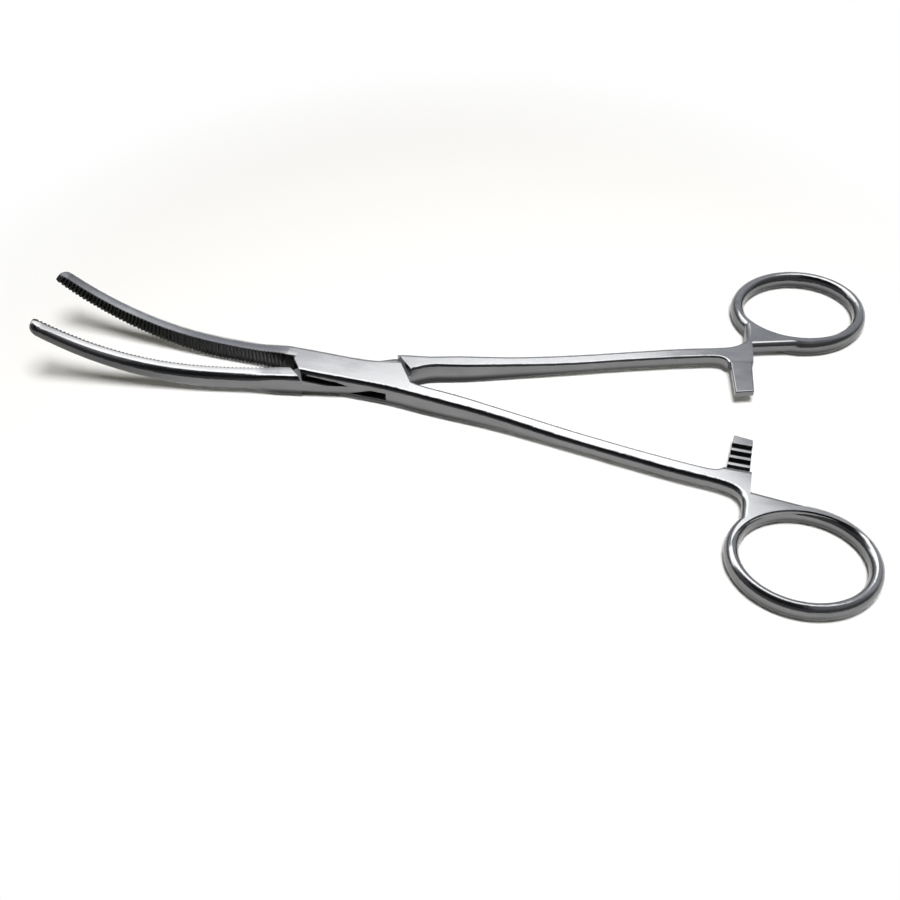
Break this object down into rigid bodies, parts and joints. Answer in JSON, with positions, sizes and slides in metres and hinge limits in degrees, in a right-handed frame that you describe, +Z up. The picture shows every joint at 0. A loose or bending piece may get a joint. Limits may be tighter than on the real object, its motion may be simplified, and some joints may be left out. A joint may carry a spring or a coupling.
{
  "type": "haemostatic forceps",
  "caption": "Scissor-like steel clamp with finger rings, a toothed locking ratchet, a box-lock pivot and long jaws that curve up and are grooved across their biting faces.",
  "frame": {"origin": "on the pivot axis, at the flat underside of the box lock, which is the plane the forceps lies on", "axes": "+Z up from that plane, the way the jaws curve; +X from the pivot to the finger rings along the middle line between the halves; +Y to the ring of the male half"},
  "size_m": [0.1975, 0.1102, 0.0191],
  "materials": {
    "box_half_steel": "satin to bright polish",
    "male_half_steel": "satin to bright polish",
    "pin_steel": "ground flush, satin"
  },
  "bodies": {
    "box_body": {"box_half": "box_half_steel", "pivot_pin": "pin_steel"},
    "male_body": {"male_half": "male_half_steel"}
  },
  "joints": [
    {"name": "pivot", "type": "hinge", "parent": "box_body", "child": "male_body", "pos_m": [0, 0, 0.0031], "axis": [0, 0, 1], "range_deg": [-12.2, 27.8]}
  ]
}
